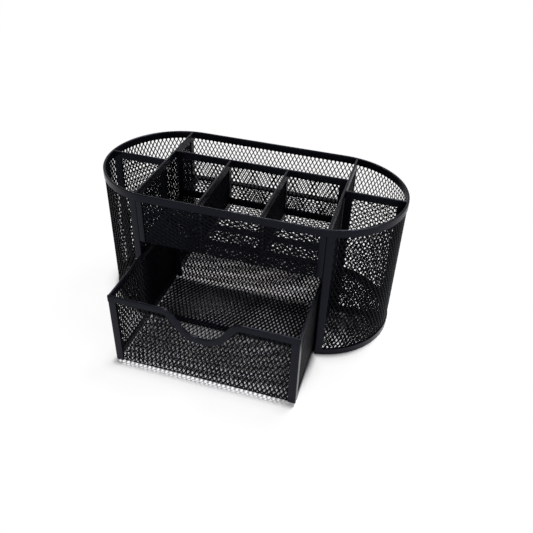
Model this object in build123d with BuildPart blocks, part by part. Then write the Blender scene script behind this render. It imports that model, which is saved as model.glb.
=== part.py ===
"""Pen stand of expanded steel mesh with folded edge strips and one drawer, in millimetres.

The origin is the centre of the body's footprint on the desk. +X is to the right, +Y to the
back and +Z up. The drawer is stored part way out, and slides along Y.
"""
import os
from math import acos, ceil, cos, hypot, pi, sin, sqrt

from build123d import *

os.makedirs("parts", exist_ok=True)

# Body: a stadium in plan, two half rounds joined by straight sides
body_length = 220.0
body_width = 106.0
body_height = 107.0

# Sheet metal: the mesh, and the folded strips that bind its edges
mesh_thickness = 0.6
strip_gauge = 0.4
strip_width = 5.4
slip = 0.15
strip_thickness = mesh_thickness + 2 * slip + 2 * strip_gauge
slot_thickness = mesh_thickness + 2 * slip
edge_cover = strip_gauge + slip

# Diamond openings of the mesh: wide ones on the large sheets, close ones on the small sheets.
# Each window takes the whole number of openings nearest to its pitch.
strand = 2.4
wide_pitch = (24.0, 40.0)
close_pitch = (17.0, 28.0)
smallest_opening = 12.0

# Dividers, all flush with the rim
side_divider_x = 66.0
end_divider_y = 0.0
long_divider_y = 16.0
short_divider_x = 21.7

# Raised floor over the drawer, folded up into the front panel
floor_height = 68.4
fold_radius = 0.6
front_strip_width = 4.2

# Drawer: width and height follow the bay that it runs in
drawer_side_clearance = 0.7
drawer_under_clearance = 0.4
drawer_back_clearance = 1.0
drawer_height = 58.2
drawer_open = 50.5
corner_strip_width = 5.3
lip_width = 4.8

# Finger dip in the drawer's front edge
dip_depth = 19.0
dip_top_half = 21.8
dip_bottom_half = 9.0
dip_shoulder_radius = 11.0
dip_valley_radius = 16.0
dip_radii = [dip_shoulder_radius, dip_valley_radius, dip_valley_radius, dip_shoulder_radius]

# Places worked out from the sizes above
half_width = body_width / 2
half_straight = (body_length - body_width) / 2
inner_y = half_width - strip_thickness
sheet_radius = half_width - strip_thickness / 2
bay_half = side_divider_x - strip_thickness / 2
outer_face_x = side_divider_x + strip_thickness / 2
side_divider_reach = sqrt(inner_y**2 - max(outer_face_x - half_straight, 0) ** 2) - slip
floor_rail_top = floor_height + strip_thickness / 2
sill_top = mesh_thickness + strip_gauge
drawer_half = bay_half - drawer_side_clearance
drawer_bottom = sill_top + drawer_under_clearance
drawer_top = drawer_bottom + drawer_height
drawer_depth = half_width + inner_y - drawer_back_clearance
drawer_front_y = -half_width - drawer_open
drawer_back_y = drawer_front_y + drawer_depth
drawer_mid_y = (drawer_front_y + drawer_back_y) / 2
drawer_sheet_half = drawer_half - strip_thickness - slip


def save(name, builder):
    """Label the finished piece and write it as a STEP file."""
    builder.part.label = name
    export_step(builder.part, f"parts/{name}.step")


def facing_x(x, y, z):
    """Plane square to X, with its own x along Y and its own y up."""
    return Plane(origin=(x, y, z), x_dir=(0, 1, 0), z_dir=(1, 0, 0))


def facing_front(x, y, z):
    """Plane square to Y that looks to the front, with its own y up."""
    return Plane(origin=(x, y, z), x_dir=(1, 0, 0), z_dir=(0, -1, 0))


def opening_size(pitch):
    """Width and height of a diamond opening, the pitch less half a strand on each side."""
    inradius = pitch[0] * pitch[1] / 2 / hypot(*pitch)
    share = 1 - strand / 2 / inradius
    return pitch[0] * share, pitch[1] * share


def diamond(pitch):
    """One opening of the mesh, upright in the current sketch."""
    width, height = opening_size(pitch)
    corners = [(-width / 2, 0), (0, -height / 2), (width / 2, 0), (0, height / 2)]
    Polygon(*corners, align=None)


def mesh_window(width, height, pitch):
    """Openings over a window in the current sketch, with half openings along its edges."""
    columns = max(round(width / pitch[0]), 1)
    rows = max(round(height / pitch[1]), 1)
    fitted = (width / columns, height / rows)
    centres = [
        (column * fitted[0] / 2 - width / 2, row * fitted[1] / 2 - height / 2)
        for column in range(2 * columns + 1)
        for row in range(2 * rows + 1)
        if (column + row) % 2 == 1
    ]
    with Locations(*centres):
        diamond(fitted)
    Rectangle(width, height, mode=Mode.INTERSECT)


def cut_openings(window):
    """Cut a sketch of openings through the current sheet, less the slivers at its edge."""
    openings = [face for face in window.sketch.faces() if face.area > smallest_opening]
    extrude(openings, amount=strip_thickness, both=True, mode=Mode.SUBTRACT)


def strip_frame(plane, width, height):
    """Strip folded over all four edges of a sheet, as one closed frame with a groove."""
    with BuildPart() as frame:
        with BuildSketch(plane):
            Rectangle(width, height)
            Rectangle(width - 2 * strip_width, height - 2 * strip_width, mode=Mode.SUBTRACT)
        extrude(amount=strip_thickness / 2, both=True)
        with BuildSketch(plane):
            Rectangle(width - 2 * strip_gauge, height - 2 * strip_gauge)
        extrude(amount=slot_thickness / 2, both=True, mode=Mode.SUBTRACT)
    return frame


def framed_sheet(plane, width, height, pitch):
    """Flat mesh sheet whose edges lie in the groove of a strip frame of the same size."""
    with BuildPart() as sheet:
        with BuildSketch(plane):
            Rectangle(width - 2 * edge_cover, height - 2 * edge_cover)
        extrude(amount=mesh_thickness / 2, both=True)
        with BuildSketch(plane, mode=Mode.PRIVATE) as window:
            mesh_window(width - 2 * strip_width, height - 2 * strip_width, pitch)
        cut_openings(window)
    return sheet


def stadium(inset, mode=Mode.ADD):
    """The body's outline in plan, drawn in by an inset."""
    SlotOverall(body_length - 2 * inset, body_width - 2 * inset, mode=mode)


def stadium_ring(outer_inset, inner_inset):
    """A band of the body's outline between two insets."""
    stadium(outer_inset)
    stadium(inner_inset, mode=Mode.SUBTRACT)


def cut_bay_mouth(half_opening):
    """Take the front out of a ring, where the drawer comes through."""
    with Locations((0, -half_width)):
        Rectangle(2 * half_opening, half_width, mode=Mode.SUBTRACT)


def keep_front(sign, near_x, far_x):
    """Keep only the front stretch of a ring between two distances from the middle."""
    with Locations((sign * (near_x + far_x) / 2, -half_width)):
        Rectangle(far_x - near_x, half_width, mode=Mode.INTERSECT)


def keep_bay(half_span, front_y, back_y):
    """Keep only what lies over the drawer's bay, between two places along Y."""
    with Locations((0, (front_y + back_y) / 2)):
        Rectangle(2 * half_span, back_y - front_y, mode=Mode.INTERSECT)


# ---- rim: one strip folded over the top edge, right round ----
with BuildPart() as top_rim:
    with BuildSketch(Plane.XY.offset(body_height)):
        stadium_ring(0, strip_thickness)
    extrude(amount=-strip_width)
    with BuildSketch(Plane.XY.offset(body_height - strip_gauge)):
        stadium_ring(strip_gauge, strip_thickness - strip_gauge)
    extrude(amount=-strip_width, mode=Mode.SUBTRACT)
save("top_rim", top_rim)

# ---- base band: the same strip round the foot, open between the posts ----
with BuildPart() as base_band:
    with BuildSketch():
        stadium_ring(0, strip_thickness)
        cut_bay_mouth(bay_half)
    extrude(amount=strip_width)
    with BuildSketch(Plane.XY.offset(strip_gauge)):
        stadium_ring(strip_gauge, strip_thickness - strip_gauge)
        cut_bay_mouth(bay_half + strip_gauge)
    extrude(amount=strip_width, mode=Mode.SUBTRACT)
save("base_band", base_band)


# ---- wall: mesh from post to post, a half round at each end and a flat back ----
# The ends are creased at the crossings of the strands, too slightly to leave their slot:
# a crease stands out by half its bulge and lies in by the other half.
crease_count = 2 * ceil(pi / acos(1 - 2 * slip / sheet_radius) / 4)
crease_turn = pi / crease_count
back_columns = round(2 * half_straight / (2 * crease_turn * sheet_radius))
back_step = half_straight / back_columns
wall_window = body_height - 2 * strip_width
wall_rows = round(wall_window / wide_pitch[1])
wall_pitch = (2 * crease_turn * sheet_radius, wall_window / wall_rows)


def creased_stadium(radius, mode=Mode.ADD):
    """The stadium of the wall sheet, with each round end as a run of slight creases."""
    bulge = radius * (1 - cos(crease_turn / 2))
    reach = radius + bulge / 2
    points = []
    for sign in (1, -1):
        for crease in range(crease_count + 1):
            turn = crease * crease_turn
            points.append((sign * (half_straight + reach * sin(turn)), -sign * reach * cos(turn)))
    Polygon(*points, align=None, mode=mode)


def wall_columns():
    """Planes on the wall sheet where a column of openings stands, from right to left."""
    planes = []
    for sign in (1, -1):
        for crease in range(crease_count):
            turn = crease * crease_turn
            outward = Vector(sin(turn), -cos(turn), 0) * sign
            centre = Vector(sign * half_straight, 0, 0) + outward * sheet_radius
            planes.append(Plane(origin=centre, x_dir=(-outward.Y, outward.X, 0), z_dir=outward))
        for step in range(2 * back_columns):
            x = sign * (half_straight - step * back_step)
            planes.append(facing_front(x, sign * sheet_radius, 0))
    return planes


wall_openings = []
for column, plane in enumerate(wall_columns()):
    with BuildSketch(plane, mode=Mode.PRIVATE) as openings:
        for row in range(2 * wall_rows + 1):
            if (column + row) % 2 == 1:
                with Locations((0, strip_width + row * wall_pitch[1] / 2)):
                    diamond(wall_pitch)
        with Locations((0, body_height / 2)):
            Rectangle(wall_pitch[0], wall_window, mode=Mode.INTERSECT)
    behind_mouth = plane.origin.Y < 0 and abs(plane.origin.X) < bay_half + strip_width
    if not behind_mouth:
        wall_openings.append(extrude(openings.sketch, strip_thickness, both=True, mode=Mode.PRIVATE))
with BuildPart() as wall:
    with BuildSketch(Plane.XY.offset(edge_cover)):
        creased_stadium(sheet_radius + mesh_thickness / 2)
        creased_stadium(sheet_radius - mesh_thickness / 2, mode=Mode.SUBTRACT)
        cut_bay_mouth(bay_half + edge_cover)
    extrude(amount=body_height - 2 * edge_cover)
    add(wall_openings, mode=Mode.SUBTRACT)
# It is divided at the end dividers and where the flat back begins.
for name, low_corner, high_corner in (
    ("left_front_mesh", (-body_length, -body_width), (-half_straight, end_divider_y)),
    ("left_back_mesh", (-body_length, end_divider_y), (-half_straight, body_width)),
    ("back_mesh", (-half_straight, end_divider_y), (half_straight, body_width)),
    ("right_back_mesh", (half_straight, end_divider_y), (body_length, body_width)),
    ("right_front_mesh", (half_straight, -body_width), (body_length, end_divider_y)),
):
    with BuildPart() as wall_stretch:
        with BuildSketch():
            Polygon(
                low_corner,
                (high_corner[0], low_corner[1]),
                high_corner,
                (low_corner[0], high_corner[1]),
                align=None,
            )
        extrude(amount=body_height)
        add(wall.part, mode=Mode.INTERSECT)
    save(name, wall_stretch)

# ---- base: mesh sheet on the desk, its edge inside the band ----
with BuildPart() as base_mesh:
    with BuildSketch():
        stadium(strip_thickness + slip)
    extrude(amount=mesh_thickness)
    with BuildSketch(mode=Mode.PRIVATE) as base_window:
        mesh_window(body_length - 2 * strip_width, body_width - 2 * strip_width, wide_pitch)
        creased_stadium(half_width - strip_width, mode=Mode.INTERSECT)
    cut_openings(base_window)
save("base_mesh", base_mesh)

# ---- sill: flat strip on the base sheet under the drawer's mouth ----
with BuildPart() as front_sill:
    with BuildSketch(Plane.XY.offset(mesh_thickness)):
        stadium(strip_thickness + slip)
        keep_bay(bay_half, -half_width, -inner_y + slip + strip_width)
    extrude(amount=strip_gauge)
save("front_sill", front_sill)

# ---- posts: strips folded over the wall sheet's front edges ----
for side, sign in (("left", -1), ("right", 1)):
    with BuildPart() as post:
        with BuildSketch(Plane.XY.offset(strip_width)):
            stadium_ring(0, strip_thickness)
            keep_front(sign, bay_half, bay_half + strip_width)
        extrude(amount=body_height - 2 * strip_width)
        with BuildSketch(Plane.XY.offset(strip_width)):
            stadium_ring(strip_gauge, strip_thickness - strip_gauge)
            keep_front(sign, bay_half + strip_gauge, bay_half + 2 * strip_width)
        extrude(amount=body_height - 2 * strip_width, mode=Mode.SUBTRACT)
    save(f"{side}_post", post)

# ---- raised floor: mesh sheet, its front edge folded up to meet the front panel ----
wall_face = edge_cover + mesh_thickness + slip
floor_sheet_half = bay_half - edge_cover
floor_bottom = floor_height - mesh_thickness / 2
fold_front_y = -half_width + edge_cover + mesh_thickness + fold_radius
panel_bottom = floor_height + mesh_thickness / 2 + fold_radius
rail_window_back = half_width - wall_face - strip_width
with BuildPart() as floor_mesh:
    with BuildSketch(Plane.XY.offset(floor_bottom)):
        stadium(edge_cover)
        keep_bay(floor_sheet_half, -half_width, 0)
    extrude(amount=mesh_thickness)
    with BuildSketch(Plane.XY.offset(floor_bottom)):
        stadium(wall_face + edge_cover)
        keep_bay(floor_sheet_half, 0, half_width)
    extrude(amount=mesh_thickness)
    with BuildSketch(Plane.XY.offset(floor_bottom)):
        stadium_ring(edge_cover, edge_cover + mesh_thickness)
        keep_bay(floor_sheet_half, -half_width, 0)
    extrude(amount=panel_bottom - floor_bottom)
    front_edges = floor_mesh.edges().filter_by_position(Axis.Y, -half_width, fold_front_y)
    fold_edges = front_edges.filter_by_position(Axis.Z, floor_bottom, floor_bottom + slip)
    fillet(fold_edges, fold_radius)
    floor_mid = Plane((0, (rail_window_back + fold_front_y) / 2, floor_height))
    with BuildSketch(floor_mid, mode=Mode.PRIVATE) as floor_window:
        mesh_window(2 * (bay_half - strip_width), rail_window_back - fold_front_y, wide_pitch)
    cut_openings(floor_window)
save("floor_mesh", floor_mesh)

# ---- floor rails: strip along the raised floor's sides and back ----
with BuildPart() as floor_rails:
    with BuildSketch(Plane.XY.offset(floor_height)):
        stadium(wall_face)
        keep_bay(bay_half, -side_divider_reach, half_width)
        with Locations((0, rail_window_back - body_width / 2)):
            Rectangle(2 * (bay_half - strip_width), body_width, mode=Mode.SUBTRACT)
    extrude(amount=strip_thickness / 2, both=True)
    with BuildSketch(Plane.XY.offset(floor_height)):
        stadium(wall_face + strip_gauge)
        keep_bay(bay_half - strip_gauge, -half_width, half_width)
    extrude(amount=slot_thickness / 2, both=True, mode=Mode.SUBTRACT)
save("floor_rails", floor_rails)

# ---- front panel: mesh sheet on the floor's fold, up into the rim ----
panel_window_low = panel_bottom + strand / 2
panel_clear = body_height - strip_width - panel_window_low
panel_plane = facing_front(0, -sheet_radius, panel_window_low + panel_clear / 2)
with BuildPart() as front_panel_mesh:
    with BuildSketch(Plane.XY.offset(panel_bottom)):
        stadium_ring(edge_cover, edge_cover + mesh_thickness)
        keep_bay(floor_sheet_half, -half_width, 0)
    extrude(amount=body_height - edge_cover - panel_bottom)
    with BuildSketch(panel_plane, mode=Mode.PRIVATE) as panel_window:
        mesh_window(2 * (bay_half - front_strip_width), panel_clear, close_pitch)
    cut_openings(panel_window)
save("front_panel_mesh", front_panel_mesh)

# ---- front panel strips: one down each side, against the posts ----
for side, sign in (("left", -1), ("right", 1)):
    with BuildPart() as panel_strip:
        with BuildSketch(Plane.XY.offset(panel_bottom)):
            stadium_ring(0, strip_thickness)
            keep_front(sign, bay_half - front_strip_width, bay_half)
        extrude(amount=body_height - strip_width - panel_bottom)
        with BuildSketch(Plane.XY.offset(panel_bottom)):
            stadium_ring(strip_gauge, strip_thickness - strip_gauge)
            keep_front(sign, bay_half - 2 * front_strip_width, bay_half - strip_gauge)
        extrude(amount=body_height - strip_width - panel_bottom, mode=Mode.SUBTRACT)
    save(f"{side}_panel_strip", panel_strip)

# ---- side dividers: full height, the walls of the drawer's bay ----
side_divider_height = body_height - mesh_thickness
side_divider_z = mesh_thickness + side_divider_height / 2
for side, sign in (("left", -1), ("right", 1)):
    side_plane = facing_x(sign * side_divider_x, 0, side_divider_z)
    size = (2 * side_divider_reach, side_divider_height)
    save(f"{side}_divider_strips", strip_frame(side_plane, *size))
    save(f"{side}_divider_mesh", framed_sheet(side_plane, *size, wide_pitch))

# ---- end dividers: one across each rounded end ----
end_outer_x = half_straight + inner_y - slip
end_mid_x = (outer_face_x + end_outer_x) / 2
for side, sign in (("left", -1), ("right", 1)):
    end_plane = facing_front(sign * end_mid_x, end_divider_y, side_divider_z)
    size = (end_outer_x - outer_face_x, side_divider_height)
    save(f"{side}_end_divider_strips", strip_frame(end_plane, *size))
    save(f"{side}_end_divider_mesh", framed_sheet(end_plane, *size, close_pitch))

# ---- long divider: across the bay, on the floor rails ----
low_height = body_height - floor_rail_top
low_z = floor_rail_top + low_height / 2
long_plane = facing_front(0, long_divider_y, low_z)
save("long_divider_strips", strip_frame(long_plane, 2 * bay_half, low_height))
save("long_divider_mesh", framed_sheet(long_plane, 2 * bay_half, low_height, close_pitch))

# ---- short dividers: from the front panel to the long divider ----
short_back_y = long_divider_y - strip_thickness / 2
short_mid_y = (short_back_y - inner_y) / 2
short_length = short_back_y + inner_y
for side, sign in (("left", -1), ("right", 1)):
    short_plane = facing_x(sign * short_divider_x, short_mid_y, low_z)
    save(f"{side}_short_divider_strips", strip_frame(short_plane, short_length, low_height))
    sheet = framed_sheet(short_plane, short_length, low_height, close_pitch)
    save(f"{side}_short_divider_mesh", sheet)


def under_front_edge(drop, half_span, mode=Mode.ADD):
    """Area below the drawer's dipped front edge, lowered square to the edge by a drop."""
    far = 4 * drawer_half
    with BuildSketch(mode=Mode.PRIVATE) as area:
        with BuildLine() as outline:
            edge = FilletPolyline(
                (-far, drawer_top),
                (-dip_top_half, drawer_top),
                (-dip_bottom_half, drawer_top - dip_depth),
                (dip_bottom_half, drawer_top - dip_depth),
                (dip_top_half, drawer_top),
                (far, drawer_top),
                radius=dip_radii,
            )
            Polyline(edge @ 1, (far, -far), (-far, -far), edge @ 0)
        make_face()
        if drop > 0:
            offset(amount=-drop, kind=Kind.INTERSECTION)
        with Locations((0, drawer_top / 2)):
            Rectangle(2 * half_span, 2 * drawer_top, mode=Mode.INTERSECT)
    add(area.sketch, mode=mode)


front_sheet_y = drawer_front_y + strip_thickness / 2
back_sheet_y = drawer_back_y - strip_thickness / 2
tray_front_y = front_sheet_y - mesh_thickness / 2
tray_back_y = back_sheet_y + mesh_thickness / 2
front_plane = facing_front(0, front_sheet_y, 0)


# ---- drawer bottom: mesh sheet folded up at the front and at the back ----
drawer_seam = drawer_bottom + mesh_thickness + fold_radius + slip
drawer_clear_x = 2 * (drawer_half - corner_strip_width)
drawer_clear_y = drawer_depth - 2 * corner_strip_width
with BuildPart() as drawer_bottom_mesh:
    with BuildSketch(Plane.YZ):
        with BuildLine():
            FilletPolyline(
                (tray_front_y, drawer_seam),
                (tray_front_y, drawer_bottom),
                (tray_back_y, drawer_bottom),
                (tray_back_y, drawer_seam),
                radius=fold_radius + mesh_thickness,
            )
            offset(amount=mesh_thickness, side=Side.LEFT)
        make_face()
    extrude(amount=drawer_sheet_half, both=True)
    bottom_plane = Plane((0, drawer_mid_y, drawer_bottom))
    with BuildSketch(bottom_plane, mode=Mode.PRIVATE) as bottom_window:
        mesh_window(drawer_clear_x, drawer_clear_y, wide_pitch)
    cut_openings(bottom_window)
save("drawer_bottom_mesh", drawer_bottom_mesh)

# ---- drawer front: mesh sheet on the bottom's fold, its top edge dipped ----
drawer_window_low = drawer_seam + strand / 2
drawer_clear_z = drawer_top - lip_width - drawer_window_low
drawer_window_z = drawer_window_low + drawer_clear_z / 2
with BuildPart() as drawer_front_mesh:
    with BuildSketch(front_plane):
        with Locations((0, drawer_seam + drawer_height / 2)):
            Rectangle(2 * drawer_sheet_half, drawer_height)
        under_front_edge(edge_cover, 2 * drawer_half, mode=Mode.INTERSECT)
    extrude(amount=mesh_thickness / 2, both=True)
    with BuildSketch(front_plane, mode=Mode.PRIVATE) as front_window:
        with Locations((0, drawer_window_z)):
            mesh_window(drawer_clear_x, drawer_clear_z, close_pitch)
        under_front_edge(lip_width, drawer_half, mode=Mode.INTERSECT)
    cut_openings(front_window)
save("drawer_front_mesh", drawer_front_mesh)

# ---- drawer back: mesh sheet on the bottom's fold, its top edge straight ----
drawer_back_height = drawer_top - edge_cover - drawer_seam
with BuildPart() as drawer_back_mesh:
    with BuildSketch(facing_front(0, back_sheet_y, drawer_seam + drawer_back_height / 2)):
        Rectangle(2 * drawer_sheet_half, drawer_back_height)
    extrude(amount=mesh_thickness / 2, both=True)
    back_plane = facing_front(0, back_sheet_y, drawer_window_z)
    with BuildSketch(back_plane, mode=Mode.PRIVATE) as back_window:
        mesh_window(drawer_clear_x, drawer_clear_z, wide_pitch)
    cut_openings(back_window)
save("drawer_back_mesh", drawer_back_mesh)

# ---- drawer lip: the strip that follows the dipped front edge ----
with BuildPart() as drawer_front_lip:
    with BuildSketch(front_plane):
        under_front_edge(0, drawer_half)
        under_front_edge(lip_width, 2 * drawer_half, mode=Mode.SUBTRACT)
    extrude(amount=strip_thickness / 2, both=True)
    with BuildSketch(front_plane):
        under_front_edge(strip_gauge, 2 * drawer_half)
    extrude(amount=slot_thickness / 2, both=True, mode=Mode.SUBTRACT)
save("drawer_front_lip", drawer_front_lip)

# ---- drawer back lip: straight strip on the back's top edge ----
with BuildPart() as drawer_back_lip:
    with BuildSketch(facing_front(0, back_sheet_y, drawer_top - lip_width / 2)):
        Rectangle(2 * drawer_half, lip_width)
    extrude(amount=strip_thickness / 2, both=True)
    with BuildSketch(facing_front(0, back_sheet_y, drawer_top - lip_width / 2 - strip_gauge)):
        Rectangle(4 * drawer_half, lip_width)
    extrude(amount=slot_thickness / 2, both=True, mode=Mode.SUBTRACT)
save("drawer_back_lip", drawer_back_lip)

# ---- drawer corners: angle strips that bind front, side and back sheets ----
corner_height = drawer_top - lip_width - drawer_seam
arm_slot = corner_strip_width - strip_thickness
for end, end_y, inward in (("front", drawer_front_y, 1), ("back", drawer_back_y, -1)):
    for side, sign in (("left", -1), ("right", 1)):
        with BuildPart() as corner:
            with BuildSketch(Plane.XY.offset(drawer_seam)):
                arm_y = end_y + inward * corner_strip_width / 2
                arm_x = sign * (drawer_half - corner_strip_width / 2)
                with Locations((sign * (drawer_half - strip_thickness / 2), arm_y)):
                    Rectangle(strip_thickness, corner_strip_width)
                with Locations((arm_x, end_y + inward * strip_thickness / 2)):
                    Rectangle(corner_strip_width, strip_thickness)
                slot_y = arm_y + inward * strip_thickness
                with Locations((sign * (drawer_half - strip_thickness / 2), slot_y)):
                    Rectangle(slot_thickness, corner_strip_width, mode=Mode.SUBTRACT)
                with Locations((arm_x - sign * strip_thickness, end_y + inward * strip_thickness / 2)):
                    Rectangle(corner_strip_width, slot_thickness, mode=Mode.SUBTRACT)
            extrude(amount=corner_height)
        save(f"drawer_{end}_{side}_corner", corner)

# ---- drawer sides: a mesh sheet with a strip along its top and its bottom ----
side_sheet_x = drawer_half - strip_thickness / 2
side_sheet_length = drawer_depth - 2 * (strip_thickness + slip)
side_sheet_z = (drawer_bottom + drawer_top) / 2
side_sheet_height = drawer_height - 2 * edge_cover
side_window_height = drawer_height - lip_width - strip_width
side_window_z = drawer_bottom + strip_width + side_window_height / 2
top_strip_length = drawer_depth - 2 * strip_thickness
bottom_strip_length = drawer_depth - 2 * corner_strip_width
for side, sign in (("left", -1), ("right", 1)):
    with BuildPart() as drawer_side:
        with BuildSketch(facing_x(sign * side_sheet_x, drawer_mid_y, side_sheet_z)):
            Rectangle(side_sheet_length, side_sheet_height)
        extrude(amount=mesh_thickness / 2, both=True)
        side_plane = facing_x(sign * side_sheet_x, drawer_mid_y, side_window_z)
        with BuildSketch(side_plane, mode=Mode.PRIVATE) as side_window:
            mesh_window(drawer_clear_y, side_window_height, wide_pitch)
        cut_openings(side_window)
    save(f"drawer_{side}_side_mesh", drawer_side)

    for edge, edge_z, up, length, width in (
        ("top", drawer_top, 1, top_strip_length, lip_width),
        ("bottom", drawer_bottom, -1, bottom_strip_length, strip_width),
    ):
        with BuildPart() as side_strip:
            strip_z = edge_z - up * width / 2
            with BuildSketch(facing_x(sign * side_sheet_x, drawer_mid_y, strip_z)):
                Rectangle(length, width)
            extrude(amount=strip_thickness / 2, both=True)
            slot_z = strip_z - up * strip_gauge
            with BuildSketch(facing_x(sign * side_sheet_x, drawer_mid_y, slot_z)):
                Rectangle(2 * length, width)
            extrude(amount=slot_thickness / 2, both=True, mode=Mode.SUBTRACT)
        save(f"drawer_{side}_{edge}_strip", side_strip)
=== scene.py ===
from math import atan2, cos, hypot, pi, radians, sin, sqrt, tan

import bmesh
import bpy
from mathutils import Matrix, Vector


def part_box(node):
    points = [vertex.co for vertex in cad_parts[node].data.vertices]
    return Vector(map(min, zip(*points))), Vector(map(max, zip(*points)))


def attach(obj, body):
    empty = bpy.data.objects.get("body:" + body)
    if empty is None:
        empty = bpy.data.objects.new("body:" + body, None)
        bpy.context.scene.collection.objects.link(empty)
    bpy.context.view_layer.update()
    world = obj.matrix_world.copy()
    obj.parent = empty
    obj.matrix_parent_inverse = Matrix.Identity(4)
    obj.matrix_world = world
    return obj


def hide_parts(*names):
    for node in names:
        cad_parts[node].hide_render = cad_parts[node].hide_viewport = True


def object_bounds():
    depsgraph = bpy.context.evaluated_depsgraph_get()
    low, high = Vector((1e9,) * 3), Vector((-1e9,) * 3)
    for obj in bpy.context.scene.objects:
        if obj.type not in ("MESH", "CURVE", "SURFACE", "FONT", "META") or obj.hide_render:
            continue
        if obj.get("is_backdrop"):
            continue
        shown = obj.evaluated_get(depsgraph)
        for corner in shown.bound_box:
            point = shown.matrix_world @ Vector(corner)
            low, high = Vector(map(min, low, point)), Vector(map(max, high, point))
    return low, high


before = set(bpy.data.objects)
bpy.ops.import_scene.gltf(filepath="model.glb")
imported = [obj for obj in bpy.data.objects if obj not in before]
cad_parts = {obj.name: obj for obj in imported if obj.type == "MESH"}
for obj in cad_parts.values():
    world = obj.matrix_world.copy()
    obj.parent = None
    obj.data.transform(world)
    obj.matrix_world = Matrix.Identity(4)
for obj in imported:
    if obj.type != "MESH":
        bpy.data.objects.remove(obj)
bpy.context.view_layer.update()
mm = 0.001

# Lengths are in millimetres until a mesh is made from them; only the studio is in metres.
body = {
    "length": 220.0,
    "width": 106.0,
    "height": 107.0,
    "stripThickness": 1.7,
    "stripGauge": 0.4,
    "stripWidth": 5.4,
    "foldBend": 0.62,  # outer radius of a strip's fold
    "foldSteps": 5,
    "hemChamfer": 0.1,  # on a strip's outer edges
    "edgeCover": 0.55,  # how far a sheet's edge lies below the fold of its strip
    "bayHalf": 65.15,  # half the width of the drawer's bay
    "floorHeight": 68.4,
    "arcSteps": 44,  # points along each rounded end
}
halfWidth = body["width"] / 2
halfStraight = (body["length"] - body["width"]) / 2
sheetRadius = halfWidth - body["stripThickness"] / 2


def linearColour(hexText):
    # sRGB hex to linear RGBA
    parts = [int(hexText[i : i + 2], 16) / 255 for i in (1, 3, 5)]
    return tuple(p / 12.92 if p <= 0.04045 else ((p + 0.055) / 1.055) ** 2.4 for p in parts) + (1.0,)


def addNode(tree, kind, settings=None, values=None, links=None):
    # Settings by name, then plain values and incoming sockets by the input they go to
    node = tree.nodes.new(kind)
    for name, value in (settings or {}).items():
        setattr(node, name, value)
    for key, value in (values or {}).items():
        node.inputs[key].default_value = value
    for key, socket in (links or {}).items():
        tree.links.new(socket, node.inputs[key])
    return node


def newMaterial(name):
    material = bpy.data.materials.new(name)
    material.use_nodes = True
    material.node_tree.nodes.clear()
    return material, material.node_tree


# Finishes

coat = {
    "sheetColour": "#060709",
    "stripColour": "#08090d",
    "sheetRoughness": 0.45,
    "stripRoughness": 0.28,
    "ior": 1.5,
    "sheetSheen": 0.05,  # specular level; this and the next are fitted to the photograph's tones
    "stripSheen": 0.15,
    "sheenColour": "#d6deff",
    "peelSize": 1.4,  # mm from dimple to dimple of the orange peel
    "peelDepth": 0.012,  # mm
    "peelStrength": 0.5,
    "patchSize": 28.0,  # mm, slow change of gloss where the coat is thicker
    "glossRange": (0.3, 0.7),  # the patches' noise between thin and thick coat
    "glossChange": (-0.05, 0.07),  # added to the roughness there
    "tintStops": ((0.3, 0.86), (0.72, 1.14)),  # the noise again, and what it multiplies the colour by
}


def powderCoat(name, kind):
    # Baked polyester powder on steel: a satin skin with a faint orange peel, a little
    # blue in its black, and gloss that changes slowly with the thickness of the coat.
    material, tree = newMaterial(name)
    roughness = coat[kind + "Roughness"]
    place = addNode(tree, "ShaderNodeTexCoord")
    peel = addNode(
        tree,
        "ShaderNodeTexNoise",
        values={"Scale": 1 / (coat["peelSize"] * mm), "Detail": 2.0, "Roughness": 0.5},
        links={"Vector": place.outputs["Object"]},
    )
    patches = addNode(
        tree,
        "ShaderNodeTexNoise",
        values={"Scale": 1 / (coat["patchSize"] * mm), "Detail": 3.0, "Roughness": 0.55},
        links={"Vector": place.outputs["Object"]},
    )
    gloss = addNode(
        tree,
        "ShaderNodeMapRange",
        values={
            "From Min": coat["glossRange"][0],
            "From Max": coat["glossRange"][1],
            "To Min": roughness + coat["glossChange"][0],
            "To Max": roughness + coat["glossChange"][1],
        },
        links={"Value": patches.outputs["Fac"]},
    )
    dark = linearColour(coat[kind + "Colour"])
    tint = addNode(tree, "ShaderNodeValToRGB", links={"Fac": patches.outputs["Fac"]})
    for element, (at, change) in zip(tint.color_ramp.elements, coat["tintStops"]):
        element.position = at
        element.color = (*(c * change for c in dark[:3]), 1.0)
    bump = addNode(
        tree,
        "ShaderNodeBump",
        values={"Strength": coat["peelStrength"], "Distance": coat["peelDepth"] * mm},
        links={"Height": peel.outputs["Fac"]},
    )
    shader = addNode(
        tree,
        "ShaderNodeBsdfPrincipled",
        values={
            "IOR": coat["ior"],
            "Specular IOR Level": coat[kind + "Sheen"],
            "Specular Tint": linearColour(coat["sheenColour"]),
        },
        links={
            "Base Color": tint.outputs["Color"],
            "Roughness": gloss.outputs["Result"],
            "Normal": bump.outputs["Normal"],
        },
    )
    addNode(tree, "ShaderNodeOutputMaterial", links={"Surface": shader.outputs["BSDF"]})
    return material


sheetCoat = powderCoat("powderCoatedMesh", "sheet")
stripCoat = powderCoat("powderCoatedStrip", "strip")
finishOf = {"mesh_sheet": sheetCoat, "edge_strip": stripCoat}
print("finishes made")


# Node trees


def newTree(name, inputs):
    tree = bpy.data.node_groups.new(name, "GeometryNodeTree")
    for label, kind in inputs:
        tree.interface.new_socket(label, in_out="INPUT", socket_type="NodeSocket" + kind)
    tree.interface.new_socket("Result", in_out="OUTPUT", socket_type="NodeSocketGeometry")
    return tree, addNode(tree, "NodeGroupInput").outputs


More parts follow.
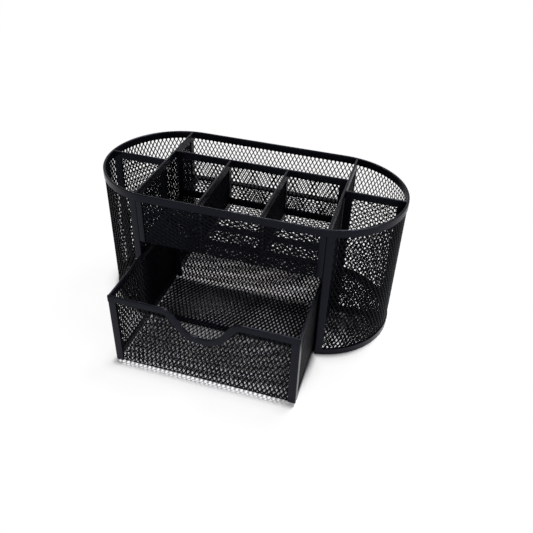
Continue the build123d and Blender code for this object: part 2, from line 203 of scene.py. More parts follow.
def movedAlong(tree, start, moves):
    # From a point along each direction, by the length that comes with it
    place = start
    for direction, length in moves:
        step = addNode(
            tree, "ShaderNodeVectorMath", {"operation": "SCALE"}, links={0: direction, "Scale": length}
        )
        place = addNode(
            tree, "ShaderNodeVectorMath", {"operation": "ADD"}, links={0: place, 1: step.outputs["Vector"]}
        ).outputs["Vector"]
    return place


# The diamonds of all mesh sheets
lattice = {
    "shortWay": 3.2,  # mm between knuckles across the diamond
    "longWay": 6.1,  # mm between knuckles along the diamond
    "strand": 0.68,  # a strand's width
    "thickness": 0.45,
    "lift": 0.2,  # each knuckle is tipped by this much, up on one side and down on the other
    "weld": 0.02,  # cells closer than this are joined
    "cutSides": 8,  # sides of the largest cut end that is closed
}


def expandedSheetTree():
    # Cells of a slit and stretched sheet, laid in two staggered lattices along a path.
    # In the flat, x runs along the path, y across the sheet and z through it.
    tree, given = newTree(
        "expandedSheet",
        [
            ("Cell", "Geometry"),
            ("Path", "Object"),
            ("Outline", "Object"),
            ("Columns", "Int"),
            ("Rows", "Int"),
            ("Pitch Along", "Float"),
            ("Pitch Across", "Float"),
            ("Thickness", "Float"),
            ("Centre", "Vector"),
            ("Across", "Vector"),
            ("Finish", "Material"),
        ],
    )
    outline, path = (
        addNode(tree, "GeometryNodeObjectInfo", links={"Object": given[label]}).outputs["Geometry"]
        for label in ("Outline", "Path")
    )
    lattices = addNode(tree, "GeometryNodeJoinGeometry")
    for fewer in (0, 1):
        counts, sizes = [], []
        less = {"operation": "SUBTRACT"}
        for count, pitch in (("Columns", "Pitch Along"), ("Rows", "Pitch Across")):
            points = addNode(tree, "ShaderNodeMath", less, {1: float(fewer)}, {0: given[count]}).outputs[0]
            gaps = addNode(tree, "ShaderNodeMath", less, {1: 1.0}, {0: points}).outputs[0]
            size = addNode(
                tree, "ShaderNodeMath", {"operation": "MULTIPLY"}, links={0: gaps, 1: given[pitch]}
            ).outputs[0]
            counts.append(points)
            sizes.append(size)
        grid = addNode(
            tree,
            "GeometryNodeMeshGrid",
            links={
                "Size X": sizes[0],
                "Size Y": sizes[1],
                "Vertices X": counts[0],
                "Vertices Y": counts[1],
            },
        )
        tree.links.new(grid.outputs["Mesh"], lattices.inputs["Geometry"])
    placed = addNode(
        tree,
        "GeometryNodeTransform",
        links={"Geometry": lattices.outputs["Geometry"], "Translation": given["Centre"]},
    )
    here = addNode(tree, "GeometryNodeInputPosition").outputs["Position"]
    above = addNode(
        tree, "ShaderNodeVectorMath", {"operation": "ADD"}, {1: (0.0, 0.0, 1.0)}, {0: here}
    ).outputs["Vector"]
    hit = addNode(
        tree,
        "GeometryNodeRaycast",
        values={"Ray Direction": (0.0, 0.0, -1.0), "Ray Length": 2.0},
        links={"Target Geometry": outline, "Source Position": above},
    ).outputs["Is Hit"]
    outside = addNode(tree, "FunctionNodeBooleanMath", {"operation": "NOT"}, links={0: hit})
    kept = addNode(
        tree,
        "GeometryNodeDeleteGeometry",
        {"domain": "POINT"},
        links={"Geometry": placed.outputs["Geometry"], "Selection": outside.outputs["Boolean"]},
    )
    cellSize = addNode(
        tree,
        "ShaderNodeCombineXYZ",
        links={"X": given["Pitch Along"], "Y": given["Pitch Across"], "Z": given["Thickness"]},
    )
    cells = addNode(
        tree,
        "GeometryNodeInstanceOnPoints",
        links={
            "Points": kept.outputs["Geometry"],
            "Instance": given["Cell"],
            "Scale": cellSize.outputs["Vector"],
        },
    )
    real = addNode(tree, "GeometryNodeRealizeInstances", links={"Geometry": cells.outputs["Instances"]})
    merged = addNode(
        tree,
        "GeometryNodeMergeByDistance",
        values={"Distance": lattice["weld"] * mm},
        links={"Geometry": real.outputs["Geometry"]},
    )
    flat = addNode(
        tree, "ShaderNodeVectorMath", {"operation": "MULTIPLY"}, {1: (1.0, 1.0, 0.0)}, {0: here}
    ).outputs["Vector"]
    nearest = addNode(
        tree,
        "GeometryNodeProximity",
        {"target_element": "FACES"},
        links={"Geometry": outline, "Sample Position": flat},
    ).outputs["Position"]
    inPlane = addNode(tree, "ShaderNodeSeparateXYZ", links={"Vector": nearest}).outputs
    spot = addNode(tree, "ShaderNodeSeparateXYZ", links={"Vector": here}).outputs
    within = addNode(
        tree, "ShaderNodeCombineXYZ", links={"X": inPlane["X"], "Y": inPlane["Y"], "Z": spot["Z"]}
    )
    trimmed = addNode(
        tree,
        "GeometryNodeSetPosition",
        links={"Geometry": merged.outputs["Geometry"], "Position": within.outputs["Vector"]},
    )
    sample = addNode(
        tree,
        "GeometryNodeSampleCurve",
        {"mode": "LENGTH", "use_all_curves": False},
        links={"Curves": path, "Length": spot["X"]},
    )
    normal = addNode(
        tree,
        "ShaderNodeVectorMath",
        {"operation": "CROSS_PRODUCT"},
        links={0: sample.outputs["Tangent"], 1: given["Across"]},
    ).outputs["Vector"]
    moves = ((given["Across"], spot["Y"]), (normal, spot["Z"]))
    target = movedAlong(tree, sample.outputs["Position"], moves)
    bent = addNode(
        tree,
        "GeometryNodeSetPosition",
        links={"Geometry": trimmed.outputs["Geometry"], "Position": target},
    )
    finished = addNode(
        tree,
        "GeometryNodeSetMaterial",
        links={"Geometry": bent.outputs["Geometry"], "Material": given["Finish"]},
    )
    addNode(tree, "NodeGroupOutput", links={"Result": finished.outputs["Geometry"]})
    return tree


carriedNames = ("railPoint", "inward", "facing", "sectionPoint")


def foldedStripTree():
    # A section swept along a rail. The rail's points carry the two directions of the
    # section, so that corners are mitred and a strip stays square to its sheet.
    tree, given = newTree(
        "foldedStrip",
        [("Rail", "Geometry"), ("Section", "Object"), ("Closed Ends", "Bool"), ("Finish", "Material")],
    )
    section = addNode(tree, "GeometryNodeObjectInfo", links={"Object": given["Section"]})
    outline = section.outputs["Geometry"]
    sectionLine = addNode(tree, "GeometryNodeMeshToCurve", links={"Mesh": outline}).outputs["Curve"]
    railLine = addNode(tree, "GeometryNodeMeshToCurve", links={"Mesh": given["Rail"]}).outputs["Curve"]
    swept = addNode(
        tree,
        "GeometryNodeCurveToMesh",
        links={"Curve": railLine, "Profile Curve": sectionLine, "Fill Caps": given["Closed Ends"]},
    ).outputs["Mesh"]
    carried = {
        name: addNode(
            tree, "GeometryNodeInputNamedAttribute", {"data_type": "FLOAT_VECTOR"}, {"Name": name}
        ).outputs["Attribute"]
        for name in carriedNames
    }
    offset = addNode(tree, "ShaderNodeSeparateXYZ", links={"Vector": carried["sectionPoint"]}).outputs
    moves = ((carried["facing"], offset["X"]), (carried["inward"], offset["Y"]))
    target = movedAlong(tree, carried["railPoint"], moves)
    placed = addNode(tree, "GeometryNodeSetPosition", links={"Geometry": swept, "Position": target})
    real = addNode(tree, "GeometryNodeRealizeInstances", links={"Geometry": placed.outputs["Geometry"]})
    finished = addNode(
        tree,
        "GeometryNodeSetMaterial",
        links={"Geometry": real.outputs["Geometry"], "Material": given["Finish"]},
    )
    addNode(tree, "NodeGroupOutput", links={"Result": finished.outputs["Geometry"]})
    return tree


sheetTree = expandedSheetTree()
stripTree = foldedStripTree()


def linked(name, data):
    piece = bpy.data.objects.new(name, data)
    bpy.context.scene.collection.objects.link(piece)
    return piece


def grown(name, source, tree, values, helpers):
    # Runs a tree on a source mesh and hands back its result as a plain mesh.
    host = linked(name + "Source", source)
    modifier = host.modifiers.new(tree.name, "NODES")
    modifier.node_group = tree
    for item in tree.interface.items_tree:
        if item.in_out == "INPUT" and item.name in values:
            modifier[item.identifier] = values[item.name]
    evaluated = host.evaluated_get(bpy.context.evaluated_depsgraph_get())
    made = bpy.data.meshes.new_from_object(evaluated)
    made.name = name
    host.modifiers.clear()
    for used in (host, *helpers):
        bpy.data.objects.remove(used)
    return made


def pathObject(points):
    curve = bpy.data.curves.new("path", "CURVE")
    curve.dimensions = "3D"
    line = curve.splines.new("POLY")
    line.points.add(len(points) - 1)
    for place, point in zip(line.points, points):
        place.co = (*(Vector(point) * mm), 1.0)
    return linked("path", curve)


def outlineObject(corners):
    mesh = bpy.data.meshes.new("outline")
    flat = [(u * mm, v * mm, 0.0) for u, v in corners]
    mesh.from_pydata(flat, [], [list(range(len(flat)))])
    return linked("outline", mesh)


# Expanded mesh


def cellMesh(pitch, slantAlong):
    # One knuckle and the two strands on its right, in a square of side 1.
    inradius = pitch[0] * pitch[1] / 2 / hypot(*pitch)
    half = lattice["strand"] / 2 / inradius / 2
    lift = lattice["lift"] / lattice["thickness"]
    tips = {"east": (half, 0), "west": (-half, 0), "north": (0, half), "south": (0, -half)}
    tall = {"east": lift, "west": -lift} if slantAlong else {"north": lift, "south": -lift}
    build = bmesh.new()

    def corner(knuckle, tip):
        x, y = knuckle[0] + tips[tip][0], knuckle[1] + tips[tip][1]
        rise = tall.get(tip, 0.0)
        return build.verts.new((x, y, 0.5 + rise)), build.verts.new((x, y, rise - 0.5))

    west, south, east, north = (corner((0, 0), tip) for tip in ("west", "south", "east", "north"))
    upper = [corner((0.5, 0.5), tip) for tip in ("south", "west")]
    lower = [corner((0.5, -0.5), tip) for tip in ("west", "north")]
    strands = [(east, upper[0], upper[1], north), (south, lower[0], lower[1], east)]
    for face in [(west, south, east, north)] + strands:
        build.faces.new([top for top, bottom in face])
        build.faces.new([bottom for top, bottom in reversed(face)])
    for a, b, c, d in strands:
        for near, far in ((a, b), (c, d)):
            build.faces.new((near[1], far[1], far[0], near[0]))
    mesh = bpy.data.meshes.new("cell")
    build.to_mesh(mesh)
    build.free()
    return mesh


def facedOutwards(mesh, closeUpTo=0):
    # Closes cut ends with no more sides than that, and turns every face outwards.
    build = bmesh.new()
    build.from_mesh(mesh)
    if closeUpTo:
        openEdges = [edge for edge in build.edges if len(edge.link_faces) == 1]
        bmesh.ops.holes_fill(build, edges=openEdges, sides=closeUpTo)
    bmesh.ops.recalc_face_normals(build, faces=build.faces)
    if build.calc_volume(signed=True) < 0:
        bmesh.ops.reverse_faces(build, faces=build.faces)
    build.to_mesh(mesh)
    build.free()


def runLength(points):
    return sum((Vector(b) - Vector(a)).length for a, b in zip(points, points[1:]))


def expandedSheet(name, path, width, across, nodes, onBody, longAlong=False, outline=None):
    # A sheet of diamonds along a path, cut to an outline that is given in the flat.
    length = runLength(path)
    along, acrossPitch = lattice["shortWay"], lattice["longWay"]
    if longAlong:
        along, acrossPitch = acrossPitch, along
    columns = max(round(length / along), 2)
    rows = max(round(width / acrossPitch), 2)
    pitch = (length / columns, width / rows)
    outline = outline or [(0, -width / 2), (length, -width / 2), (length, width / 2), (0, width / 2)]
    helpers = [pathObject(path), outlineObject(outline)]
    values = {
        "Path": helpers[0],
        "Outline": helpers[1],
        "Columns": columns,
        "Rows": rows,
        "Pitch Along": pitch[0] * mm,
        "Pitch Across": pitch[1] * mm,
        "Thickness": lattice["thickness"] * mm,
        "Centre": (length / 2 * mm, 0.0, 0.0),
        "Across": across,
        "Finish": sheetCoat,
    }
    mesh = grown(name, cellMesh(pitch, not longAlong), sheetTree, values, helpers)
    facedOutwards(mesh, lattice["cutSides"])
    return finishPiece(name, mesh, nodes, onBody, "mesh_sheet", smooth=False)


sharpAngle = 38  # degrees; where faces meet at more than this, the edge stays sharp


def finishPiece(name, mesh, nodes, onBody, slot, smooth=True):
    piece = linked(name, mesh)
    mesh.materials.clear()
    mesh.materials.append(finishOf[slot])
    if smooth:
        mesh.shade_smooth()
        mesh.set_sharp_from_angle(angle=radians(sharpAngle))
    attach(piece, onBody)
    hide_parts(*nodes)
    return piece


# Folded strips


def foldSection(width):
    # A strip folded over an edge: round at the fold, open where the sheet comes out.
    # x goes through the sheet, y from the fold inwards.
    half, gauge = body["stripThickness"] / 2, body["stripGauge"]
    bend, chamfer, steps = body["foldBend"], body["hemChamfer"], body["foldSteps"]
    points = [(half, width - chamfer), (half, bend)]
    for step in range(1, steps + 1):
        turn = pi / 2 * step / steps
        points.append((half - bend + bend * cos(turn), bend - bend * sin(turn)))
    outer = points + [(-x, y) for x, y in reversed(points)]
    hem = [(-(half - chamfer), width), (-(half - gauge), width)]
    slot = [(-(half - gauge), gauge), (half - gauge, gauge)]
    return outer + hem + slot + [(-x, y) for x, y in reversed(hem)]


def mitres(points, closed, side):
    # The direction square to each point's neighbours, long enough to keep the width.
    count = len(points)
    ends = points[1:] + points[:1] if closed else points[1:]
    runs = [(end - start).normalized() for start, end in zip(points, ends)]
    square = [side.cross(run).normalized() for run in runs]
    found = []
    for i in range(count):
        before = square[i - 1] if closed or i > 0 else square[0]
        after = square[i] if i < len(square) else square[-1]
        found.append((before + after) / (1 + before.dot(after)))
    return found


def foldedStrip(name, stations, closed, section, nodes, onBody):
    # stations: (point, direction inwards from the fold, direction through the sheet)
    rail = bpy.data.meshes.new("rail")
    count = len(stations)
    edges = [(i, (i + 1) % count) for i in range(count if closed else count - 1)]
    rail.from_pydata([Vector(s[0]) * mm for s in stations], edges, [])
    for label, index, scale in (("railPoint", 0, mm), ("inward", 1, 1.0), ("facing", 2, 1.0)):
        layer = rail.attributes.new(label, "FLOAT_VECTOR", "POINT")
        for i, station in enumerate(stations):
            layer.data[i].vector = Vector(station[index]) * scale
    outline = bpy.data.meshes.new("section")
    points = [(x * mm, y * mm, 0.0) for x, y in section]
    outline.from_pydata(points, [(i, (i + 1) % len(points)) for i in range(len(points))], [])
    layer = outline.attributes.new("sectionPoint", "FLOAT_VECTOR", "POINT")
    for i, point in enumerate(points):
        layer.data[i].vector = point
    helper = linked("section", outline)
    values = {"Section": helper, "Closed Ends": not closed, "Finish": stripCoat}
    mesh = grown(name, rail, stripTree, values, [helper])
    for label in carriedNames:
        if label in mesh.attributes:
            mesh.attributes.remove(mesh.attributes[label])
    facedOutwards(mesh)
    return finishPiece(name, mesh, nodes, onBody, "edge_strip")


# Body outline


def endPoint(turn, side, radius=sheetRadius):
    # A point on a rounded end; turn 0 is at the front, pi at the back.
    return Vector((side * (halfStraight + radius * sin(turn)), -radius * cos(turn), 0))


def stadiumPoints(startTurn=0.0, radius=sheetRadius):
    # From the right end's front round the back to the left end's front.
    steps = body["arcSteps"]
    turns = [startTurn + (pi - startTurn) * i / steps for i in range(steps + 1)]
    right = [endPoint(t, 1, radius) for t in turns]
    left = [endPoint(t, -1, radius) for t in reversed(turns)]
    return right + left


def lifted(points, z):
    return [Vector((p.x, p.y, z)) for p in points]


up = Vector((0, 0, 1))
bayHalf = body["bayHalf"]
postTurn = atan2(bayHalf - halfStraight, sqrt(sheetRadius**2 - (bayHalf - halfStraight) ** 2))
cover = body["edgeCover"]

# The rim goes right round and the foot band stops at the drawer's bay.
ring = stadiumPoints()
outwards = [-d for d in mitres(ring, True, up)]
height = body["height"]
foldedStrip(
    "rim",
    [((p.x, p.y, height), -up, n) for p, n in zip(ring, outwards)],
    True,
    foldSection(body["stripWidth"]),
    ["top_rim"],
    "stand",
)
foot = stadiumPoints(postTurn)
outwards = [-d for d in mitres(foot, False, up)]
foldedStrip(
    "footBand",
    [((p.x, p.y, 0), up, n) for p, n in zip(foot, outwards)],
    False,
    foldSection(body["stripWidth"]),
    ["base_band"],
    "stand",
)
print("rim and foot band made")

# Wall and base
wallPath = stadiumPoints(postTurn + cover / sheetRadius)
wallMiddle = height / 2
expandedSheet(
    "wallMesh",
    lifted(wallPath, wallMiddle),
    height - 2 * cover,
    (0, 0, 1),
    ["left_front_mesh", "left_back_mesh", "back_mesh", "right_back_mesh", "right_front_mesh"],
    "stand",
)

baseSheet = {"inset": 1.75, "z": 0.45}
baseRadius = halfWidth - baseSheet["inset"]
reach = halfStraight + baseRadius
edge = stadiumPoints(0.0, baseRadius)
expandedSheet(
    "baseMesh",
    [(-reach, 0, baseSheet["z"]), (reach, 0, baseSheet["z"])],
    2 * baseRadius,
    (0, 1, 0),
    ["base_mesh"],
    "stand",
    outline=[(p.x + reach, p.y) for p in edge],
)
print("wall and base made")


# Posts and front panel
def uprightStrip(name, x, towards, width, low, high, node):
    # An upright strip on the body's front face, its fold at x.
    def onFace(at):
        past = max(abs(at) - halfStraight, 0)
        return Vector((at, -sqrt(sheetRadius**2 - past**2), 0))

    start, end = onFace(x), onFace(x + towards * width)
    inward = (end - start).normalized()
    facing = up.cross(inward) * (-towards)
    if facing.y > 0:
        facing = -facing
    stations = [((start.x, start.y, z), inward, facing) for z in (low, high)]
    foldedStrip(name, stations, False, foldSection(width), [node], "stand")


panel = {
    "low": 69.3,
    "stripWidth": 4.2,
    "foldRadius": 0.9,
    "bentBefore": -40.0,  # only what lies in front of this y follows the body's outline
    "backGap": 1.3,  # from the body's back to the floor's strip
    "railTaper": 0.75,  # how far that strip comes forwards on the rounded ends
    "clippedCorner": 1.2,  # so that the floor's back corners clear the rounded ends
}
for side, sign in (("left", -1), ("right", 1)):
    uprightStrip(
        f"{side}Post",
        sign * bayHalf,
        sign,
        body["stripWidth"],
        body["stripWidth"],
        height - body["stripWidth"],
        f"{side}_post",
    )
    uprightStrip(
        f"{side}PanelStrip",
        sign * bayHalf,
        -sign,
        panel["stripWidth"],
        panel["low"],
        height - body["stripWidth"],
        f"{side}_panel_strip",
    )


def rounded(points, radii, steps=6):
    # A run of straight lines with an arc at each inner corner.
    points = [Vector(p) for p in points]
    made = [points[0]]
    for before, corner, after, radius in zip(points, points[1:], points[2:], radii):
        back, on = (before - corner).normalized(), (after - corner).normalized()
        half = back.angle(on) / 2
        start, end = corner + back * radius / tan(half), corner + on * radius / tan(half)
        centre = corner + (back + on).normalized() * radius / sin(half)
        turn = (start - centre).angle(end - centre)
        axis = (start - centre).cross(end - centre).normalized()
        for step in range(steps + 1):
            made.append(centre + Matrix.Rotation(turn * step / steps, 3, axis) @ (start - centre))
    return made + [points[-1]]


def bendToFront(piece):
    # The front panel's ends follow the body's outline.
    for vertex in piece.data.vertices:
        past = max(abs(vertex.co.x) / mm - halfStraight, 0)
        if vertex.co.y < panel["bentBefore"] * mm:
            vertex.co.y += (halfWidth - sqrt(halfWidth**2 - past**2)) * mm


railBack = halfWidth - panel["backGap"]
backOfFloor = railBack - cover
floorPath = rounded(
    [
        (0, -sheetRadius, height - cover),
        (0, -sheetRadius, body["floorHeight"]),
        (0, backOfFloor, body["floorHeight"]),
    ],
    [panel["foldRadius"]],
)
floorLength = runLength(floorPath)
floorHalf = bayHalf - cover
clippedAt = floorLength - panel["clippedCorner"]
panelAndFloor = expandedSheet(
    "panelAndFloorMesh",
    floorPath,
    2 * floorHalf,
    (1, 0, 0),
    ["floor_mesh", "front_panel_mesh"],
    "stand",
    outline=[
        (0, -floorHalf),
        (clippedAt, -floorHalf),
        (floorLength, -halfStraight),
        (floorLength, halfStraight),
        (clippedAt, floorHalf),
        (0, floorHalf),
    ],
)
bendToFront(panelAndFloor)

floorZ = body["floorHeight"]
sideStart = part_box("floor_rails")[0].y / mm
railCorner = railBack - panel["railTaper"]
railPoints = [
    Vector((bayHalf, sideStart, floorZ)),
    Vector((bayHalf, railCorner, floorZ)),
    Vector((halfStraight, railBack, floorZ)),
    Vector((-halfStraight, railBack, floorZ)),
    Vector((-bayHalf, railCorner, floorZ)),
    Vector((-bayHalf, sideStart, floorZ)),
]
foldedStrip(
    "floorRails",
    [(p, d, up) for p, d in zip(railPoints, mitres(railPoints, False, up))],
    False,
    foldSection(body["stripWidth"]),
    ["floor_rails"],
    "stand",
)
print("front panel and floor made")


# Flat sheets in their frames
def boxOf(node):
    low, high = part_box(node)
    return low / mm, high / mm


def standing(node):
    # The foot and top of a CAD node that is flat along X or Y, its middle line and the way it faces
    low, high = boxOf(node)
    middle = (low + high) / 2
    if high.x - low.x > high.y - low.y:
        line = [(low.x, middle.y, middle.z), (high.x, middle.y, middle.z)]
        return low.z, high.z, line, Vector((0, -1, 0))
    line = [(middle.x, low.y, middle.z), (middle.x, high.y, middle.z)]
    return low.z, high.z, line, Vector((1, 0, 0))


def flatSheet(name, node, onBody, longAlong=False):
    low, high, line, _ = standing(node)
    expandedSheet(name, line, high - low, (0, 0, 1), [node], onBody, longAlong)


def frameOf(name, node):
    # A strip round all four edges, its corners mitred.
    low, high, (start, end), facing = standing(node)
    corners = ((start, low), (end, low), (end, high), (start, high))
    points = [Vector((*place[:2], z)) for place, z in corners]
    stations = [(p, d, facing) for p, d in zip(points, mitres(points, True, facing))]
    foldedStrip(name, stations, True, foldSection(body["stripWidth"]), [node], "stand")


for side in ("left", "right"):
    for kind, node, longAlong in (
        ("Divider", "divider", False),
        ("EndDivider", "end_divider", True),
        ("ShortDivider", "short_divider", False),
    ):
        flatSheet(f"{side}{kind}Mesh", f"{side}_{node}_mesh", "stand", longAlong)
        frameOf(f"{side}{kind}Frame", f"{side}_{node}_strips")
flatSheet("longDividerMesh", "long_divider_mesh", "stand")
frameOf("longDividerFrame", "long_divider_strips")
print("dividers made")

# Drawer
drawer = {
    "half": 64.45,
    "sheetHalf": 62.6,
    "frontY": -103.5,
    "backY": -0.2,
    "bottomZ": 1.85,
    "top": 59.6,
    "lipWidth": 4.8,
    "cornerWidth": 5.3,
    "cornerBend": 0.7,  # outer radius of the angle strips
    "cornerSteps": 4,
    "cornerLow": 2.75,  # where the angle strips begin
    "dipDepth": 19.0,
    "dipTopHalf": 21.8,
    "dipBottomHalf": 9.0,
    "dipRadii": [11.0, 16.0, 16.0, 11.0],
    "dipSteps": 10,
    "foldRadius": 1.0,
}
thickness = body["stripThickness"]
top = drawer["top"]
frontSheetY = drawer["frontY"] + thickness / 2
backSheetY = drawer["backY"] - thickness / 2
dipLow = top - drawer["dipDepth"]
dipLine = rounded(
    [
        (-drawer["half"], frontSheetY, top),
        (-drawer["dipTopHalf"], frontSheetY, top),
        (-drawer["dipBottomHalf"], frontSheetY, dipLow),
        (drawer["dipBottomHalf"], frontSheetY, dipLow),
        (drawer["dipTopHalf"], frontSheetY, top),
        (drawer["half"], frontSheetY, top),
    ],
    drawer["dipRadii"],
    steps=drawer["dipSteps"],
)
toFront = Vector((0, -1, 0))
dipInwards = mitres(dipLine, False, -toFront)
if dipInwards[0].z > 0:
    dipInwards = [-d for d in dipInwards]
foldedStrip(
    "drawerFrontLip",
    [(p, d, toFront) for p, d in zip(dipLine, dipInwards)],
    False,
    foldSection(drawer["lipWidth"]),
    ["drawer_front_lip"],
    "drawer",
)
foldedStrip(
    "drawerBackLip",
    [((x, backSheetY, top), -up, toFront) for x in (-drawer["half"], drawer["half"])],
    False,
    foldSection(drawer["lipWidth"]),
    ["drawer_back_lip"],
    "drawer",
)

sheetTop = top - cover
trayPath = rounded(
    [
        (0, frontSheetY, sheetTop),
        (0, frontSheetY, drawer["bottomZ"]),
        (0, backSheetY, drawer["bottomZ"]),
        (0, backSheetY, sheetTop),
    ],
    [drawer["foldRadius"], drawer["foldRadius"]],
)
trayLength = runLength(trayPath)
underLip = [p + d * cover for p, d in zip(dipLine, dipInwards)]
sheetHalf = drawer["sheetHalf"]
frontEdge = [(sheetTop - p.z, max(-sheetHalf, min(sheetHalf, p.x))) for p in underLip]
expandedSheet(
    "drawerTrayMesh",
    trayPath,
    2 * sheetHalf,
    (1, 0, 0),
    ["drawer_front_mesh", "drawer_bottom_mesh", "drawer_back_mesh"],
    "drawer",
    longAlong=True,
    outline=frontEdge + [(trayLength, sheetHalf), (trayLength, -sheetHalf)],
)


def cornerSection():
    # An angle strip over the joint of two sheets, round at the bend.
    wide, thick, gauge = drawer["cornerWidth"], thickness, body["stripGauge"]
    bend, steps = drawer["cornerBend"], drawer["cornerSteps"]
    turns = [pi / 2 * step / steps for step in range(steps + 1)]
    arc = [(bend - bend * cos(turn), bend - bend * sin(turn)) for turn in turns]
    outer, inner = [(0, wide), (gauge, wide)], [(thick - gauge, wide), (thick, wide)]
    alongY = outer + [(gauge, thick), (thick - gauge, thick)] + inner
    return arc + [(y, x) for x, y in alongY] + [(thick, thick)] + list(reversed(alongY))


for end, y, inward in (("front", drawer["frontY"], 1), ("back", drawer["backY"], -1)):
    for side, sign in (("left", -1), ("right", 1)):
        stations = [
            ((sign * drawer["half"], y, z), Vector((0, inward, 0)), Vector((-sign, 0, 0)))
            for z in (drawer["cornerLow"], top - drawer["lipWidth"])
        ]
        foldedStrip(
            f"drawer{end.title()}{side.title()}Corner",
            stations,
            False,
            cornerSection(),
            [f"drawer_{end}_{side}_corner"],
            "drawer",
        )

for side, sign in (("left", -1), ("right", 1)):
    flatSheet(f"drawer{side.title()}SideMesh", f"drawer_{side}_side_mesh", "drawer")
    for place, edgeZ, inward, width in (
        ("top", top, -up, drawer["lipWidth"]),
        ("bottom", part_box(f"drawer_{side}_bottom_strip")[0].z / mm, up, body["stripWidth"]),
    ):
        low, high = boxOf(f"drawer_{side}_{place}_strip")
        x = (low.x + high.x) / 2
        foldedStrip(
            f"drawer{side.title()}{place.title()}Strip",
            [((x, y, edgeZ), inward, Vector((sign, 0, 0))) for y in (low.y, high.y)],
            False,
            foldSection(width),
            [f"drawer_{side}_{place}_strip"],
            "drawer",
        )
print("drawer made")

# The sill keeps its CAD shape.
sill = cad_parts["front_sill"]
sill.data.materials.clear()
sill.data.materials.append(stripCoat)

# Camera, from lines fitted to the photograph; its angles are in degrees
camera = {
    "azimuth": 15.41,
    "elevation": 36.74,
    "roll": 2.29,
    "distance": 477.17,
    "target": (12.82, 0.0, 29.03),
    "lens": 41.47,
    "sensor": 36,
    "nearest": 10.0,  # what is closer than this to the camera isn't seen
}
a, e, roll = (radians(camera[k]) for k in ("azimuth", "elevation", "roll"))
away = Vector((sin(a) * cos(e), -cos(a) * cos(e), sin(e)))
level = Vector((cos(a), sin(a), 0))
rise = away.cross(level)
across = cos(roll) * level + sin(roll) * rise
above = -sin(roll) * level + cos(roll) * rise
lens = bpy.data.cameras.new("camera")
lens.lens = camera["lens"]
lens.sensor_width = camera["sensor"]
lens.clip_start = camera["nearest"] * mm
view = linked("camera", lens)
eye = (Vector(camera["target"]) + away * camera["distance"]) * mm
turned = Matrix((across, above, away)).transposed().to_4x4()
view.matrix_world = Matrix.Translation(eye) @ turned
bpy.context.scene.camera = view
print("camera placed")

# Studio, in metres: a sheet of white paper, soft lamps above and a small one behind
studio = {
    "paperColour": "#eeeef0",
    "paperSize": 6.0,  # from the middle to each edge
    "worldStrength": 0.2,
    "skyBand": (22, 32),  # degrees above the horizon between which its white fades
    # Body and drawer on the paper as the drawer stands at rest, in millimetres: the middle
    # and half size of a rectangle, and the round margin about it
    "footprints": (((0, 0), (57, 0), 53), ((0, -77), (64.5, 26.5), 0)),
    # Pairs of the distance from the object and the share of bare white in the paper there, a painted light
    # glow that hides the shadow
    "paintedWhiteRamp": ((0.0, 0.0), (0.003, 0.7), (0.01, 0.93), (0.12, 0.98), (1.0, 1.0)),
    "aim": (0.0, -0.02, 0.05),  # where all lamps point
    "key": {"place": (0.25, 0.3, 1.1), "size": 0.3, "power": 14.5},
    "side": {"place": (1.0, -0.3, 0.4), "size": 0.5, "power": 2.5},
    "front": {"place": (0.1, -0.95, 0.4), "size": 0.6, "power": 3.2},
    "back": {"place": (-0.28, 0.8, 1.05), "size": 0.25, "power": 4.0},  # draws the lines along the folds
}


def seenOrMirrored(tree):
    # 1 where the camera sees the surface itself, in a reflection or through glass, else 0
    ray = addNode(tree, "ShaderNodeLightPath")
    seen = ray.outputs["Is Camera Ray"]
    for also in ("Is Glossy Ray", "Is Transmission Ray"):
        seen = addNode(
            tree, "ShaderNodeMath", {"operation": "MAXIMUM"}, links={0: seen, 1: ray.outputs[also]}
        ).outputs[0]
    return seen


def distanceFrom(tree, place, middle, half, margin):
    # How far a point of the paper lies outside a rectangle with a round margin about it
    steps = (
        ("SUBTRACT", {1: (middle[0] * mm, middle[1] * mm, 0)}),
        ("ABSOLUTE", {}),
        ("SUBTRACT", {1: (half[0] * mm, half[1] * mm, 0)}),
        ("MAXIMUM", {1: (0, 0, 0)}),
    )
    for operation, values in steps:
        node = addNode(tree, "ShaderNodeVectorMath", {"operation": operation}, values, {0: place})
        place = node.outputs["Vector"]
    reach = addNode(tree, "ShaderNodeVectorMath", {"operation": "LENGTH"}, links={0: place})
    return addNode(
        tree,
        "ShaderNodeMath",
        {"operation": "SUBTRACT"},
        values={1: margin * mm},
        links={0: reach.outputs["Value"]},
    ).outputs[0]


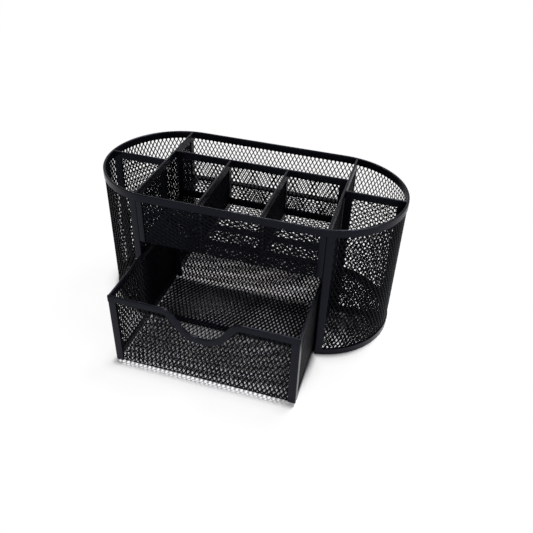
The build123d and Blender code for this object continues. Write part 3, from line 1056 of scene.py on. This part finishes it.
def whitePaper():
    # White card, matt under and near the object. Away from it most of it glows bare white,
    # a painted light that hides most of the object's shadow there, as on brightly lit paper.
    material, tree = newMaterial("paperWhite")
    place = addNode(tree, "ShaderNodeTexCoord").outputs["Object"]
    distances = [distanceFrom(tree, place, *footprint) for footprint in studio["footprints"]]
    nearest = addNode(tree, "ShaderNodeMath", {"operation": "MINIMUM"}, links=dict(enumerate(distances)))
    ramp = addNode(tree, "ShaderNodeValToRGB", links={"Fac": nearest.outputs[0]})
    stops, elements = studio["paintedWhiteRamp"], ramp.color_ramp.elements
    elements[0].position, elements[1].position = stops[0][0], stops[-1][0]
    for at, _ in stops[1:-1]:
        elements.new(at)
    for element, (_, white) in zip(elements, stops):
        element.color = (white, white, white, 1)
    share = addNode(
        tree,
        "ShaderNodeMath",
        {"operation": "MULTIPLY"},
        links={0: ramp.outputs["Color"], 1: seenOrMirrored(tree)},
    )
    matt = addNode(tree, "ShaderNodeBsdfDiffuse", values={"Color": linearColour(studio["paperColour"])})
    # painted light: a white glow on the paper in place of the lamps' light, away from the object
    bare = addNode(tree, "ShaderNodeEmission", values={"Color": (1, 1, 1, 1), "Strength": 1.0})
    both = addNode(
        tree,
        "ShaderNodeMixShader",
        links={0: share.outputs[0], 1: matt.outputs["BSDF"], 2: bare.outputs["Emission"]},
    )
    addNode(tree, "ShaderNodeOutputMaterial", links={"Surface": both.outputs["Shader"]})
    return material


ground = bpy.data.meshes.new("floor")
far = studio["paperSize"]
ground.from_pydata([(-far, -far, 0), (far, -far, 0), (far, far, 0), (-far, far, 0)], [], [(0, 1, 2, 3)])
ground.materials.append(whitePaper())
linked("floor", ground)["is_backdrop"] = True

world = bpy.data.worlds.new("studio")
world.use_nodes = True
skyTree = world.node_tree
skyTree.nodes.clear()
# White near the horizon for the camera and for reflections, and dim above
direction = addNode(skyTree, "ShaderNodeTexCoord").outputs["Generated"]
elevation = addNode(skyTree, "ShaderNodeSeparateXYZ", links={"Vector": direction}).outputs["Z"]
paperSky = addNode(
    skyTree,
    "ShaderNodeMapRange",
    values={
        "From Min": sin(radians(studio["skyBand"][0])),
        "From Max": sin(radians(studio["skyBand"][1])),
        "To Min": 1.0,
        "To Max": studio["worldStrength"],
    },
    links={"Value": elevation},
).outputs["Result"]
strength = addNode(
    skyTree,
    "ShaderNodeMapRange",
    values={"To Min": studio["worldStrength"]},
    links={"Value": seenOrMirrored(skyTree), "To Max": paperSky},
).outputs["Result"]
sky = addNode(
    skyTree,
    "ShaderNodeBackground",
    values={"Color": (1, 1, 1, 1)},
    links={"Strength": strength},
)
addNode(skyTree, "ShaderNodeOutputWorld", links={"Surface": sky.outputs["Background"]})
bpy.context.scene.world = world

aim = Vector(studio["aim"])
for name in ("key", "side", "front", "back"):
    facts = studio[name]
    lamp = bpy.data.lights.new(name, "AREA")
    lamp.shape = "DISK"
    lamp.size = facts["size"]
    lamp.energy = facts["power"]
    holder = linked(name, lamp)
    place = Vector(facts["place"])
    turned = (place - aim).to_track_quat("Z", "Y").to_matrix().to_4x4()
    holder.matrix_world = Matrix.Translation(place) @ turned
bpy.context.scene.view_settings.view_transform = "Standard"
print("studio made")

low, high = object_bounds()
